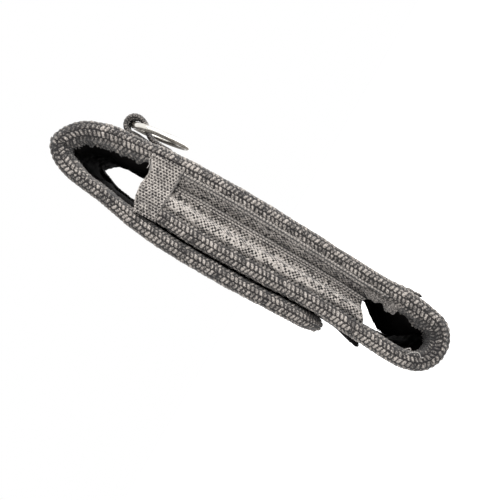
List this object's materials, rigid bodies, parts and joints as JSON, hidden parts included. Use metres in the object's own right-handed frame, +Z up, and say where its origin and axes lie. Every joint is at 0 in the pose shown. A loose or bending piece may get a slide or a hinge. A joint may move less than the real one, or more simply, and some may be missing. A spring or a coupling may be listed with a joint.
{
  "type": "belt pouch",
  "caption": "Padded cloth belt pouch with a fold-over flap, bellows side gussets, a back belt strap and a webbing loop with a free metal ring.",
  "frame": {"origin": "centre of the bounding box at the lowest point of the bottom wrap", "axes": "+Z up along the back panel, front and flap at -Y, belt strap and ring at +Y, +X across the pouch to the right of someone facing its front and looking to +Y"},
  "size_m": [0.076, 0.0358, 0.1428],
  "materials": {
    "cloth": "coarse woven, dark taupe melange",
    "tape": "ribbed binding tape and webbing, beige yarn over black",
    "gusset": "fine salt-and-pepper weave with a slight sheen",
    "lining": "smooth black lining",
    "foam": "soft padding",
    "pile": "black hook-and-loop pile",
    "thread": "sewing thread",
    "metal": "polished nickel plate"
  },
  "bodies": {
    "pouch": {"body_fabric": "cloth", "body_foam": "foam", "body_lining": "lining", "side_binding_left": "tape", "side_binding_right": "tape", "mouth_hem": "gusset", "gusset_left": "gusset", "gusset_right": "gusset", "gusset_top_hem_left": "gusset", "gusset_top_hem_right": "gusset", "gusset_bottom_hem_left": "gusset", "gusset_bottom_hem_right": "gusset", "loop_patch": "pile", "belt_strap": "tape", "strap_stitching_lower": "thread", "strap_stitching_upper": "thread", "ring_loop": "tape"},
    "crown": {"crown_fabric": "cloth", "crown_foam": "foam", "crown_lining": "lining", "crown_binding_left": "tape", "crown_binding_right": "tape"},
    "flap": {"flap_fabric": "cloth", "flap_foam": "foam", "flap_lining": "lining", "flap_binding": "tape", "hook_patch": "pile"},
    "ring": {"carry_ring": "metal"}
  },
  "joints": [
    {"name": "crown_lift", "type": "hinge", "parent": "pouch", "child": "crown", "pos_m": [0, 0.00326, 0.13874], "axis": [-1, 0, 0], "range_deg": [0, 75]},
    {"name": "flap_open", "type": "hinge", "parent": "crown", "child": "flap", "pos_m": [0, -0.01096, 0.1382], "axis": [-1, 0, 0], "range_deg": [0, 105]},
    {"name": "ring_swing", "type": "hinge", "parent": "pouch", "child": "ring", "pos_m": [0, 0.01381, 0.1279], "axis": [1, 0, 0], "range_deg": [-5, 175]}
  ]
}
